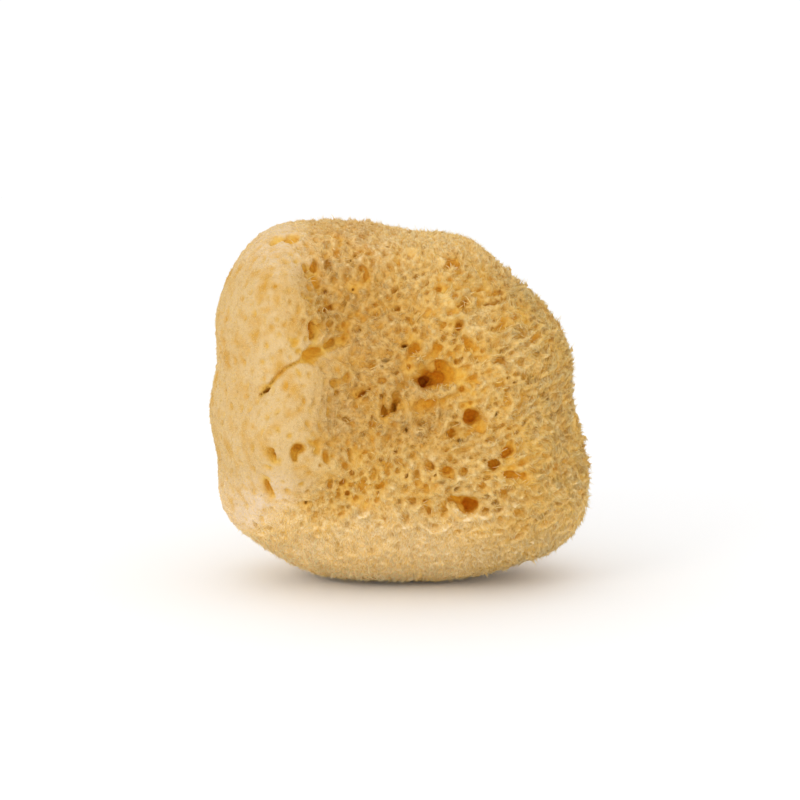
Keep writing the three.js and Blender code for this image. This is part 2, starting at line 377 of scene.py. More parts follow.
# The fuzz: name, segments of a fibre, and how long and how curly it is.
FUZZ = [
    ("sponge_fibres_1", 2, 1.4, 0.22),
    ("sponge_fibres_2", 2, 1.4, 0.22),
    ("sponge_fibres_3", 1, 1.0, 0.15),
    ("sponge_fibres_4", 1, 1.0, 0.15),
]
FUZZ_DEPTH = (1.4, 0.0)  # no fuzz grows deeper in a bore than this
FUZZ_CLEARANCE = 0.6  # nor nearer to the floor than this
FUZZ_LOW_MORE = 0.3
FUZZ_FRONT_MORE = 0.7
FUZZ_FRONT = (10.0, -20.0)
FIBRE_LENGTH = (0.8, 1.5)
FIBRE_WIDTH = (0.16, 0.30)
FIBRE_SIDES = 3
FIBRE_POINT = 0.6  # the power that a fibre tapers by
FIBRE_OUT = 0.3
FIBRE_SWIRL = 0.8
FIBRE_LOOSE = 1.2
FIBRE_PULL = 1.3
FIBRE_SPREAD = 0.16
FIBRE_TONE = (0.3, 0.2)  # middle and spread
TUFT_TONE = 0.6
# Painted highlight on raised skin and painted shade in furrows, by the height of a fibre's root.
RELIEF_HIGHLIGHT_AND_SHADE = 0.5  # fibres on raised skin are this much paler for each millimetre
ROOT_SINK = 0.2  # roots start this far inside the skin, so that no gap shows
FLOOR_RISE = 0.3  # a fibre aims to end above the floor by at least this share of its length
FLOOR_SAG = 0.1  # the share of its length that a fibre's tip may bend down

# Whiskers: long pale fibres on the rims of breathing holes.
WHISKERS = 500
WHISKER_SEGMENTS = 5
WHISKER_LENGTH = (1.2, 2.8)
WHISKER_WIDTH = (0.35, 0.6)
WHISKER_TONE = 0.7
WHISKER_OUT = 0.6
WHISKER_OVER = (0.1, 0.9)
WHISKER_ASIDE = 0.8
WHISKER_CURL = (0.0, 0.8)
WHISKER_DROOP = 0.2
WHISKER_BEND = 0.45
WHISKER_RIM = 0.3  # they grow round this distance from the hole
WHISKER_RIM_FADE = (1.3, 0.5)
WHISKER_DEPTH = (2.6, 1.0)
WHISKER_BELOW = (0.1, -0.7)  # most grow under the hole
WHISKER_BELOW_LEAST = 0.2
WHISKER_CLEARANCE = 5.0

# Colours of the skin by depth, from the outermost skin at 0 to the bottom of the deepest holes at 1: pale
# outside, then a painted golden glow for the light scattered inside pores, and painted shade darkening the
# deepest holes.
DEPTH_RANGE = (-2.0, 10.0)  # the depths that 0 and 1 stand for
POROUS_GLOW_AND_SHADE_COLOURS = [
    (0.0, (0.86, 0.66, 0.36)),
    (0.12, (0.79, 0.56, 0.23)),
    (0.22, (0.75, 0.48, 0.14)),
    (0.32, (0.80, 0.49, 0.09)),
    (0.5, (0.80, 0.42, 0.03)),
    (0.8, (0.81, 0.35, 0.012)),
    (1.0, (0.82, 0.28, 0.009)),
]
LOBE_GLOW_AND_SHADE_COLOURS = [
    (0.0, (0.68, 0.49, 0.27)),
    (0.17, (0.66, 0.46, 0.22)),
    (0.25, (0.72, 0.45, 0.10)),
    (0.4, (0.76, 0.44, 0.05)),
    (0.7, (0.74, 0.34, 0.016)),
    (1.0, (0.70, 0.22, 0.008)),
]

# Colours of fibres from root to tip, for the palest and for the darkest.
PALE_COLOURS = [(0.0, (0.78, 0.51, 0.12)), (0.4, (0.85, 0.62, 0.24)), (1.0, (0.92, 0.77, 0.43))]
TAN_COLOURS = [(0.0, (0.76, 0.44, 0.06)), (0.5, (0.78, 0.49, 0.10)), (1.0, (0.82, 0.57, 0.18))]

# Speckles: noise scale over a metre and detail, the noise values between which they show, and their tint.
FRECKLES = (150.0, 5.0, (0.48, 0.68), (0.92, 0.74, 0.34))
THREADS = (700.0, 5.0, (0.4, 0.62), (0.90, 0.78, 0.55))
BLOTCHES = (80.0, 3.0, (0.35, 0.7), (0.95, 0.90, 0.78))

# Painted light: the low band is paled and brightened to lift the shade under the sponge, and the top weakly
# as if lit from above.
LOW_SKIN_PAINTED_LIGHT = (1.20, 1.36, 2.1)
LOW_FIBRE_PAINTED_LIGHT = (1.28, 1.36, 1.8)
# Painted shade: darkens the hollow middle of the broad face towards brown.
HOLLOW_SHADE_TINT = (0.88, 0.82, 0.73)
GRAIN = (900.0, 5.0)  # noise scale and detail of the skin's finest bumps
GRAIN_HEIGHT = 0.8

# The studio, in metres. Lamps: name, place from the middle of the sponge, size and power.
FLOOR_HALF = 3.0
FLOOR_COLOUR = (0.95, 0.95, 0.95, 1.0)
WORLD_COLOUR = (1.0, 1.0, 1.0, 1.0)
WORLD_LIGHT = 1.06
LAMPS = [
    ("key", (-0.65, -0.75, 0.45), 0.4, 2.2),
    ("fill", (0.1, -0.9, -0.02), 0.3, 1.3),
]
CAMERA_DISTANCE = 0.7
CAMERA_RISE = math.radians(8)
CAMERA_LENS = 94.0
CAMERA_DROP = 0.0006  # the camera aims this far below the middle


# ---- numbers on the grid


def smoothstep(low, high, value):
    share = np.clip((value - low) / (high - low), 0.0, 1.0)
    return share * share * (3.0 - 2.0 * share)


def wave(place, height, rate, start=0.0):
    """A gentle wave, which keeps the edge of a region from being straight."""
    return height * np.sin(rate * place + start)


def unit(vectors):
    return vectors / np.maximum(np.linalg.norm(vectors, axis=-1, keepdims=True), TINY)


def sample(field, points):
    """The field's values at points, blended between cells."""
    place = points / CELL - LOW
    base = np.clip(np.floor(place).astype(int), 0, np.array(field.shape) - 2)
    share = np.clip(place - base, 0.0, 1.0)
    total = np.zeros(len(points))
    for corner in itertools.product((0, 1), repeat=3):
        weight = np.prod(np.where(corner, share, 1.0 - share), axis=1)
        i, j, k = (base + corner).T
        total += weight * field[i, j, k]
    return total


def outward(field, points):
    """Unit directions in which the field grows fastest at points."""
    slopes = [sample(field, points + step) - sample(field, points - step) for step in np.eye(3) * CELL]
    return unit(np.stack(slopes, axis=1))


def blurred(field, spread):
    reach = math.ceil(BLUR_REACH * spread / CELL)
    shifts = range(-reach, reach + 1)
    weights = [math.exp(-0.5 * (shift * CELL / spread) ** 2) for shift in shifts]
    for axis in range(3):
        total = np.zeros_like(field)
        for shift, weight in zip(shifts, weights):
            total += np.float32(weight / sum(weights)) * np.roll(field, shift, axis)
        field = total
    return field


def lumps(size, seed):
    """Smooth random values from -1 to 1 over the grid, changing over about size."""
    counts = [int(n * CELL / size) + 3 for n in SHAPE]
    values = np.random.default_rng(seed).uniform(-1, 1, counts).astype(np.float32)
    for axis, n in enumerate(SHAPE):
        place = np.arange(n) * CELL / size
        base = place.astype(int)
        side = [1, 1, 1]
        side[axis] = n
        share = smoothstep(0.0, 1.0, place - base).astype(np.float32).reshape(side)
        values = np.take(values, base, axis) * (1 - share) + np.take(values, base + 1, axis) * share
    return values


def lumpy(layers):
    """Layers of lumps on top of each other."""
    return sum(height * lumps(size, seed) for height, size, seed in layers)


def soft_max(a, b, blend):
    """The larger of two fields, with the edge between them rounded over blend."""
    share = np.clip(0.5 + 0.5 * (a - b) / blend, 0.0, 1.0)
    return b + (a - b) * share + blend * share * (1.0 - share)


def soft_min(a, b, blend):
    return -soft_max(-a, -b, blend)


# ---- regions


def smooth_share(x, y, z):
    """1 on the smooth lobes on the left, 0 on the porous rest, blended between."""
    wobble = sum(wave(z, *shape) for shape in EDGE_WAVES)
    edge = np.interp(z, EDGE_HEIGHTS, EDGE_PLACES) + wobble
    on_left = smoothstep(-EDGE_BLEND, EDGE_BLEND, edge - x)
    behind = EDGE_DEPTH + wave(z, *EDGE_DEPTH_WAVE) - y
    return on_left * smoothstep(-EDGE_DEPTH_BLEND, EDGE_DEPTH_BLEND, behind)


def combed_share(x, y, z):
    """1 on the right flank, where long tufts lie combed outward."""
    return smoothstep(*COMBED_SIDE, x + wave(z, *COMBED_WAVE))


def low_share(x, y, z):
    """1 low down, with short dense fuzz and painted light, and partly so over the top."""
    height = z + wave(x, *LOW_WAVE) - LOW_RISE * smoothstep(*LOW_RISE_SIDE, x)
    low = smoothstep(*LOW_BAND, height) * (1 - LOW_FADE * smoothstep(*LOW_FADE_SIDE, x))
    return np.maximum(low, TOP_SHARE * smoothstep(*TOP_BAND, z))


def hollow_shade_share(x, y, z):
    """1 in the hollow middle of the broad face, which painted shade makes browner."""
    height = smoothstep(*HOLLOW_SHADE_FOOT, z) * (1 - HOLLOW_SHADE_HEAD_FADE * smoothstep(*HOLLOW_SHADE_HEAD, z))
    aside = smoothstep(*HOLLOW_SHADE_SIDE, x + HOLLOW_SHADE_SLANT * (z - HOLLOW_SHADE_SLANT_HEIGHT))
    return height * aside * smoothstep(*HOLLOW_SHADE_BACK, y) * (1 - smooth_share(x, y, z))


def regions(points):
    """How far points are in each region, from 0 to 1."""
    smooth = smooth_share(*points.T)
    return {
        "smooth": smooth,
        "combed": combed_share(*points.T) * (1 - smooth),
        "low": low_share(*points.T) * (1 - smooth),
        "hollow_shade": hollow_shade_share(*points.T),
    }


def changed(start, shares, changes):
    """A size with each region's change added to it, as far as points are in that region."""
    total = start
    for region, change in changes.items():
        total = total + change * shares[region]
    return total


# ---- the skin without pores


def level_set(points, faces):
    """Signed distances from a closed mesh, negative inside."""
    kind = "triangles" if faces.shape[1] == 3 else "quads"
    grid = openvdb.FloatGrid.createLevelSetFromPolygons(
        np.ascontiguousarray(points, np.float32),
        **{kind: np.ascontiguousarray(faces, np.uint32)},
        transform=openvdb.createLinearTransform(voxelSize=CELL),
        exBandWidth=MARGIN / CELL,
        inBandWidth=(INNER_BAND + CLOSING) / CELL,
    )
    field = np.full(SHAPE, FAR, np.float32)
    grid.copyToArray(field, ijk=tuple(int(v) for v in LOW))
    return field


def surface(field, level=0.0):
    """The points and four-sided faces where the field has the level."""
    grid = openvdb.FloatGrid(MARGIN)
    grid.transform = openvdb.createLinearTransform(voxelSize=CELL)
    near = np.ascontiguousarray(np.clip(field, -MARGIN, MARGIN), np.float32)
    grid.copyFromArray(near, ijk=tuple(int(v) for v in LOW))
    points, _, quads = grid.convertToPolygons(isovalue=level, adaptivity=0.0)
    return points.astype(float), quads.astype(np.int64)


def points_and_triangles(mesh):
    """A mesh's points in its own units, and its triangles."""
    points = np.empty(len(mesh.vertices) * 3, np.float32)
    mesh.vertices.foreach_get("co", points)
    mesh.calc_loop_triangles()
    triangles = np.empty(len(mesh.loop_triangles) * 3, np.int32)
    mesh.loop_triangles.foreach_get("vertices", triangles)
    return points.reshape(-1, 3), triangles.reshape(-1, 3)


def closed_skin():
    """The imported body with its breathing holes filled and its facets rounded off."""
    points, triangles = points_and_triangles(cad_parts[NODE].data)
    packed = level_set(points / MM, triangles)
    points, quads = surface(packed, CLOSING)
    filled = level_set(points, quads) + np.float32(CLOSING)
    return blurred(np.minimum(filled, packed), SKIN_BLUR)


def on_skin(skin, points):
    """Points moved onto the skin, and the way out of the body there."""
    points = np.array(points, float)
    for _ in range(SKIN_STEPS):
        points -= outward(skin, points) * sample(skin, points)[:, None]
    return points, outward(skin, points)


def swelled(skin):
    """The skin with the small swells and hollows of the front."""
    at, _ = on_skin(skin, [place for place, _, _ in SWELLS])
    total = np.zeros(SHAPE, np.float32)
    for centre, (_, spread, height) in zip(at, SWELLS):
        place, offsets = block(centre, SWELL_REACH * spread)
        total[place] -= height * np.exp(-0.5 * (np.linalg.norm(offsets, axis=-1) / spread) ** 2)
    return skin + total


def plain_skin(rough):
    """Distances from the skin before it has pores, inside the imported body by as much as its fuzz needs."""
    return swelled(closed_skin() + UNDER_FELT + (UNDER_FUZZ - UNDER_FELT) * rough)


# ---- stamping shapes into the field


def block(centre, reach):
    """The slices of the grid within reach of centre, and the offsets of its cells from centre."""
    slices, offsets = [], []
    for axis in range(3):
        first = max(int((centre[axis] - reach) / CELL - LOW[axis]), 0)
        last = min(int((centre[axis] + reach) / CELL - LOW[axis]) + 2, SHAPE[axis])
        slices.append(slice(first, last))
        offsets.append(AXES[axis][first:last] - centre[axis])
    return tuple(slices), np.stack(np.meshgrid(*offsets, indexing="ij"), axis=-1)


def tangents(out, turn):
    """Two unit directions along the skin, to the right and up as seen from outside, turned by an angle."""
    up = np.array(UP if abs(out[2]) < LEVEL_SKIN else BACKWARD)
    right = unit(np.cross(up, out))
    up = np.cross(out, right)
    return right * math.cos(turn) + up * math.sin(turn), up * math.cos(turn) - right * math.sin(turn)


def bored(offsets, out, turn, half, depth, lean, flare):
    """Distance, roughly, from a blunt elliptical bore that leans as it goes in, negative inside it."""
    right, up = tangents(out, turn)
    inward = -(offsets @ out)
    reach = np.clip(inward, 0.0, depth)
    aside = offsets @ right - lean[0] * reach
    along = offsets @ up - lean[1] * reach
    narrow = min(half)
    taper = 1.0 - BORE_TAPER * reach / depth
    opening = np.clip(1.0 - inward / (FLARE_DEPTH * flare), 0.0, FLARE_LIMIT)
    taper = taper + flare / narrow * opening
    ring = np.sqrt((aside / half[0]) ** 2 + (along / half[1]) ** 2)
    beyond = np.maximum(inward - depth + narrow * BORE_ROUNDING, 0.0)
    return np.hypot(ring * narrow, beyond) - taper * narrow


def on_front(skin, x, z):
    """The point of the skin that is seen from the front at x and height z."""
    line = np.column_stack([np.full(SHAPE[1], x), AXES[1], np.full(SHAPE[1], z)])
    return line[np.argmax(sample(skin, line) < 0)]


def hole_row(at, size, depth, turn=0, lean=(0, 0)):
    """A hole's numbers, with those that are left out filled in."""
    return at, size, depth, turn, lean


def small_hole(skin, x, z, width, height, turn=0):
    depth = SMALL_HOLE_DEPTH + SMALL_HOLE_DEPTH_SHARE * min(width, height)
    return hole_row(on_front(skin, x, z), (width, height), depth, turn)


def all_holes(skin):
    """Every breathing hole: a point by the skin, mouth size, depth, turn and lean."""
    front = [hole_row(on_front(skin, *place), *rest) for place, *rest in FRONT_HOLES]
    small = [small_hole(skin, *row) for row in SMALL_HOLES]
    return front + small + [hole_row(*row) for row in OTHER_HOLES]


def cut_holes(skin, field):
    holes = all_holes(skin)
    at, out = on_skin(skin, [hole[0] for hole in holes])
    for (_, size, depth, turn, lean), centre, way in zip(holes, at, out):
        half = (size[0] / 2, size[1] / 2)
        reach = max(depth, *size) + depth * math.hypot(*lean)
        place, offsets = block(centre, reach + HOLE_MARGIN)
        hole = bored(offsets, way, math.radians(turn), half, depth, lean, HOLE_FLARE)
        # a ball keeps the bore from going on for ever outside the skin
        hole = np.maximum(hole, np.linalg.norm(offsets, axis=-1) - reach)
        field[place] = soft_min(field[place], hole, HOLE_BLEND)


def cut_crease(skin, field):
    """A narrow wedge along the crease, seen from the front."""
    x, _, z = np.meshgrid(*AXES, indexing="ij", sparse=True)
    aside = np.full(np.broadcast_shapes(x.shape, z.shape), FAR)
    for (x0, z0), (x1, z1) in zip(CREASE, CREASE[1:]):
        length = math.hypot(x1 - x0, z1 - z0)
        share = np.clip(((x - x0) * (x1 - x0) + (z - z0) * (z1 - z0)) / length**2, 0.0, 1.0)
        aside = np.minimum(aside, np.hypot(x - x0 - share * (x1 - x0), z - z0 - share * (z1 - z0)))
    front = slice(0, SHAPE[1] // 2)
    wedge = aside - CREASE_WIDTH / 2 * (1.0 + skin[:, front] / CREASE_DEPTH)
    field[:, front] = np.minimum(field[:, front], np.maximum(wedge, -CREASE_DEPTH - skin[:, front]))


def cut_pores(sites, out, field, rng):
    count = len(sites)
    shares = regions(sites)
    size = rng.random(count) ** PORE_SIZE_POWER
    radius = (PORE_RADIUS + PORE_RADIUS_RANGE * size) * changed(1.0, shares, PORE_RADIUS_CHANGES)
    depth = (PORE_DEPTH + PORE_DEPTH_RANGE * size) * changed(1.0, shares, PORE_DEPTH_CHANGES)
    stretch = changed(1.0 + rng.uniform(0.0, PORE_STRETCH, count) ** 2, shares, PORE_STRETCH_CHANGES)
    level = smoothstep(*PORE_LEVEL_SIDE, sites[:, 0])
    turn = rng.normal(0.0, PORE_TURN, count) * (1 - PORE_TURN_CALM * level)
    turn = turn + math.pi / 2 * (1 - level) + PORE_LEVEL_TURN * level
    lean = rng.normal(0.0, PORE_LEAN, (count, 2))
    for i, (centre, way) in enumerate(zip(sites, out)):
        half = (radius[i] * stretch[i], radius[i] / math.sqrt(stretch[i]))
        place, offsets = block(centre, depth[i] + PORE_MARGIN)
        pore = bored(offsets, way, turn[i], half, depth[i], lean[i], PORE_FLARE)
        field[place] = np.minimum(field[place], pore)


def raise_tufts(sites, out, field, rng):
    heights = rng.uniform(*TUFT_HEIGHT, len(sites)) * changed(1.0, regions(sites), TUFT_HEIGHT_CHANGES)
    widths = rng.uniform(*TUFT_WIDTH, len(sites))
    for centre, way, height, width in zip(sites, out, heights, widths):
        place, offsets = block(centre, height + width)
        above = offsets @ way
        aside = np.linalg.norm(offsets - above[..., None] * way, axis=-1)
        cone = (aside - width * (1.0 - above / height)) * TUFT_SLOPE
        cone = np.where(above < -width, FAR, cone)
        field[place] = soft_min(field[place], cone, TUFT_BLEND)


def scatter(points, spacing, rng):
    """Indices of points picked at random, none nearer to one picked before than its spacing."""
    tree = search_tree(points)
    free = np.ones(len(points), bool)
    chosen = []
    for i in rng.permutation(len(points)):
        if free[i]:
            chosen.append(i)
            for _, j, _ in tree.find_range(points[i], spacing[i]):
                free[j] = False
    return np.array(chosen)


def search_tree(points):
    tree = KDTree(len(points))
    for i, point in enumerate(points):
        tree.insert(point, i)
    tree.balance()
    return tree


# ---- the body


def hole_field(skin):
    """Distances from the breathing holes and the crease."""
    holes = np.full(SHAPE, FAR, np.float32)
    cut_holes(skin, holes)
    holes += lumpy(HOLE_LUMPS)
    cut_crease(skin, holes)
    return holes


def skin_places(skin, rng):
    """Random places all over the skin, and the way out of the body at each."""
    points, _ = surface(skin)
    return on_skin(skin, points[rng.permutation(len(points))[:CANDIDATES]])


def pore_field(places, ways, rng):
    """Distances from the pores."""
    crowding = sample(lumps(*PORE_PATCHES), places)
    spacing = rng.uniform(*PORE_SPACING, len(places)) * (1.0 + PORE_CROWDING * crowding)
    picked = scatter(places, changed(spacing, regions(places), PORE_SPACING_CHANGES), rng)
    pores = np.full(SHAPE, FAR, np.float32)
    cut_pores(places[picked], ways[picked], pores, rng)
    pores += lumpy(PORE_LUMPS)
    return pores


def tuft_places(places, ways, bores, rng):
    """Places of the tufts between the bores, and the way out of the body at each."""
    spacing = changed(rng.uniform(*TUFT_SPACING, len(places)), regions(places), TUFT_SPACING_CHANGES)
    clear = sample(bores, places) > TUFT_CLEARANCE
    picked = scatter(places[clear], spacing[clear], rng)
    return places[clear][picked], ways[clear][picked]


def lips(holes, rough):
    """How far the rims of the breathing holes stand out."""
    below = smoothstep(*LIP_BELOW, -np.gradient(holes, CELL, axis=2))
    return (LIP_HEIGHT + LIP_HEIGHT_BELOW * below) * smoothstep(*LIP_REACH, holes) * rough


def ridges(rough):
    """The ridges and furrows of the combed flank, as a change to the field."""
    x, _, z = GRID
    across = z - RIDGE_SLOPE * x + lumpy(RIDGE_WANDER)
    waves = RIDGE_HEIGHT * np.sin(across * (2 * np.pi / RIDGE_SPACING))
    return waves * combed_share(*GRID) * rough * smoothstep(*RIDGE_FADE, lumps(*RIDGE_PATCHES))


def largest_part(points, quads):
    """Only the largest connected part of a mesh, so that no crumb or bubble is left."""
    label = np.arange(len(points))
    while True:
        low = label[quads].min(axis=1)
        new = label.copy()
        np.minimum.at(new, quads.ravel(), np.repeat(low, 4))
        new = new[new]
        if np.array_equal(new, label):
            break
        label = new
    names, counts = np.unique(label, return_counts=True)
    kept = label == names[np.argmax(counts)]
    index = np.cumsum(kept) - 1
    return points[kept], index[quads[kept[quads[:, 0]]]]


class Body(NamedTuple):
    """The body's mesh, the fields that its fuzz is placed by, and its tufts."""

    points: np.ndarray
    faces: np.ndarray
    skin: np.ndarray  # distances from the skin before it had pores
    outer: np.ndarray  # the same, with the skin's broad unevenness
    holes: np.ndarray  # distances from the breathing holes
    tuft_sites: np.ndarray
    tuft_ways: np.ndarray


def grown_body(rng):
    """The whole body, with its pores, breathing holes and tufts."""
    rough = (1 - smooth_share(*GRID)).astype(np.float32)
    skin = plain_skin(rough)
    places, ways = skin_places(skin, rng)
    holes = hole_field(skin)
    bores = np.minimum(pore_field(places, ways, rng), holes)
    tuft_sites, tuft_ways = tuft_places(places, ways, bores, rng)
    uneven = SMOOTH_LUMPS_SHARE + (1 - SMOOTH_LUMPS_SHARE) * rough
    grain = uneven * (1 - LOW_LUMPS_FADE * low_share(*GRID)).astype(np.float32)
    outer = skin + (lumpy(BROAD_LUMPS) * uneven + lumpy(FINE_LUMPS) * grain)
    field = outer - lips(holes, rough)
    raise_tufts(tuft_sites, tuft_ways, field, rng)
    field = soft_max(field, -bores, BORE_EDGE)
    field += lumpy(SKIN_LUMPS) * grain
    field += ridges(rough)
    field = np.maximum(field, FLOOR_GAP - GRID[2])
    points, faces = decimated(*largest_part(*surface(field)), BODY_TRIANGLES)
    return Body(points, faces, skin, outer, holes, tuft_sites, tuft_ways)


def add_body(body):
    # Masks for painted light: the glow and shade of bores by depth, the low band, and the shaded hollow.
    facts = {
        "depth": -sample(body.outer, body.points),
        "smooth": smooth_share(*body.points.T),
        "low": low_share(*body.points.T),
        "hollow_shade": hollow_shade_share(*body.points.T),
    }
    piece = make_object("sponge_body", body.points, body.faces, body_material(), facts)
    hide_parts(NODE)
    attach(piece, "root")


# ---- meshes


def make_object(name, points, faces, material, attributes):
    """A smooth-shaded mesh from points in millimetres, with a number per point for each attribute."""
    mesh = bpy.data.meshes.new(name)
    sides = faces.shape[1]
    mesh.vertices.add(len(points))
    mesh.vertices.foreach_set("co", (points * MM).astype(np.float32).ravel())
    mesh.loops.add(faces.size)
    mesh.loops.foreach_set("vertex_index", faces.astype(np.int32).ravel())
    mesh.polygons.add(len(faces))
    mesh.polygons.foreach_set("loop_start", np.arange(0, faces.size, sides, dtype=np.int32))
    mesh.polygons.foreach_set("use_smooth", np.ones(len(faces), bool))
    mesh.update(calc_edges=True)
    for label, values in attributes.items():
        layer = mesh.attributes.new(label, "FLOAT", "POINT")
        layer.data.foreach_set("value", values.astype(np.float32))
    mesh.materials.append(material)
    piece = bpy.data.objects.new(name, mesh)
    bpy.context.scene.collection.objects.link(piece)
    return piece


def decimated(points, quads, triangles):
    """The same surface with about the given number of triangles."""
    draft = make_object("draft", points, quads, None, {})
    modifier = draft.modifiers.new("fewer", "DECIMATE")
    modifier.ratio = triangles / (2 * len(quads))
    modifier.use_collapse_triangulate = True
    graph = bpy.context.evaluated_depsgraph_get()
    points, faces = points_and_triangles(bpy.data.meshes.new_from_object(draft.evaluated_get(graph)))
    bpy.data.objects.remove(draft)
    return points / MM, faces


# ---- fibres


class Tufts(NamedTuple):
    """What fibres lean to: each tuft's place, the way it is combed, its tip and its tone."""

    sites: np.ndarray
    swirl: np.ndarray
    tips: np.ndarray
    tone: np.ndarray


class Strands(NamedTuple):
    """Fibres: where each starts, the way it aims, its length and width, and how its tip bends."""

    roots: np.ndarray
    aims: np.ndarray
    lengths: np.ndarray
    widths: np.ndarray
    bends: np.ndarray


def sideways(directions, rng):
    """Two unit directions at right angles to each direction, and to each other."""
    side = unit(np.cross(directions, rng.normal(size=directions.shape)))
    return side, np.cross(directions, side)


def fibre_rings(strands, segments, rng):
    """The points of closed three-sided tapering fibres, from the root's ring to the tip."""
    side, other = sideways(strands.aims, rng)
    starts = strands.roots - strands.aims * ROOT_SINK
    rows = []
    for ring in range(segments):
        share = ring / segments
        centre = starts + strands.aims * (strands.lengths * share)[:, None] + strands.bends * share**2
        radius = strands.widths * (1 - share) ** FIBRE_POINT / 2
        for corner in range(FIBRE_SIDES):
            angle = 2 * math.pi * corner / FIBRE_SIDES
            rows.append(centre + (side * math.cos(angle) + other * math.sin(angle)) * radius[:, None])
    rows.append(starts + strands.aims * strands.lengths[:, None] + strands.bends)
    return np.stack(rows, axis=1)


def fibre_triangles(segments):
    """The triangles of one fibre: its root's end, its sides and its tip."""
    tip = FIBRE_SIDES * segments
    triangles = [(0, 2, 1)]
    for ring in range(segments):
        first = FIBRE_SIDES * ring
        for corner in range(FIBRE_SIDES):
            a, b = first + corner, first + (corner + 1) % FIBRE_SIDES
            if ring + 1 < segments:
                triangles += [(a, b, b + FIBRE_SIDES), (a, b + FIBRE_SIDES, a + FIBRE_SIDES)]
            else:
                triangles.append((a, b, tip))
    return np.array(triangles)


def add_fibres(name, strands, segments, tone, material, rng):
    points = fibre_rings(strands, segments, rng)
    count, each, _ = points.shape
    triangles = fibre_triangles(segments)[None] + (np.arange(count) * each)[:, None, None]
    along = np.append(np.repeat(np.arange(segments) / segments, FIBRE_SIDES), 1.0)
    place = strands.roots.T
    facts = {
        "along": np.tile(along, count),
        "tone": np.repeat(np.clip(tone, 0, 1), each),
        # The low band carries painted light, and the hollow middle carries painted shade.
        "low": np.repeat(low_share(*place), each),
        "hollow_shade": np.repeat(hollow_shade_share(*place), each),
    }
    piece = make_object(name, points.reshape(-1, 3), triangles.reshape(-1, 3), material, facts)
    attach(piece, "root")


def clear_of_floor(roots, aims, lengths, widths, bends):
    """Fibres, with those that would reach through the floor turned up, and none bent far down."""
    aims[:, 2] = np.maximum(aims[:, 2], FLOOR_RISE - roots[:, 2] / lengths)
    bends[:, 2] = np.maximum(bends[:, 2], -FLOOR_SAG * lengths)
    return Strands(roots, aims, lengths, widths, bends)


def corners(points, faces):
    """The first, second and third corners of triangles."""
    return (points[faces[:, i]] for i in range(3))


def triangle_centres(points, faces):
    a, b, c = corners(points, faces)
    return (a + b + c) / 3


def random_roots(body, density, count, rng):
    """Random places on the body, more of them where the density of its triangles is larger."""
    a, b, c = corners(body.points, body.faces)
    areas = np.linalg.norm(np.cross(b - a, c - a), axis=1) / 2
    odds = areas * density
    picked = rng.choice(len(odds), count, p=odds / odds.sum())
    share = rng.random((count, 2))
    share = np.where(share.sum(axis=1, keepdims=True) > 1, 1 - share, share)
    a, b, c = a[picked], b[picked], c[picked]
    return a + (b - a) * share[:, :1] + (c - a) * share[:, 1:]


def nearest(sites, points, reach):
    """For each point the index of the nearest site, and a weight that fades to 0 at reach."""
    tree = search_tree(sites)
    found = [tree.find(point) for point in points]
    index = np.array([f[1] for f in found])
    distance = np.array([f[2] for f in found])
    return index, smoothstep(reach, TUFT_NEAR * reach, distance)


def flow(points):
    """The way fibres are combed: away from the middle of the broad face, with slow swirls."""
    x, y, z = points.T
    waves = [np.sin(a * x + b * y + c * z + start) for a, b, c, start in FLOW_WAVES]
    swirl = np.stack(waves, axis=1)
    away = unit(points - np.array(FLOW_MIDDLE))
    combed = combed_share(x, y, z)[:, None]
    hanging = smoothstep(*HANGING_HEIGHTS, z)[:, None]
    calm = np.maximum(combed, hanging)
    upward = COMBED_LIFT * combed * np.array(COMBED_WAY) - HANGING_PULL * hanging * np.array(UP)
    return unit(away + FLOW_SWIRL * swirl * (1 - FLOW_CALM * calm) + upward)


def along_skin(directions, ways):
    """Directions laid down onto the skin, whose way out is given."""
    return unit(directions - ways * np.sum(directions * ways, axis=1, keepdims=True))


def combed_tufts(sites, ways, rng):
    count = len(sites)
    shares = regions(sites)
    lift = rng.uniform(*TUFT_LIFT, count) * changed(1.0, shares, TUFT_LIFT_CHANGES)
    sweep = rng.uniform(*TUFT_SWEEP, count) * changed(1.0, shares, TUFT_SWEEP_CHANGES)
    calm = np.maximum(shares["combed"], shares["low"])
    stray = (TUFT_STRAY - TUFT_STRAY_CALM * calm)[:, None] * rng.normal(size=sites.shape)
    swirl = along_skin(flow(sites) + stray, ways)
    tips = sites + ways * lift[:, None] + swirl * sweep[:, None]
    return Tufts(sites, swirl, tips, rng.random(count))


def fuzz_density(body):
    """How thick the fuzz is on each triangle: none in the bores, most on the broad face and low down."""
    centres = triangle_centres(body.points, body.faces)
    open_skin = smoothstep(*FUZZ_DEPTH, -sample(body.outer, centres)) * (centres[:, 2] > FUZZ_CLEARANCE)
    lower = 1 + FUZZ_LOW_MORE * regions(centres)["low"]
    return open_skin * lower * (1 + FUZZ_FRONT_MORE * smoothstep(*FUZZ_FRONT, centres[:, 1]))


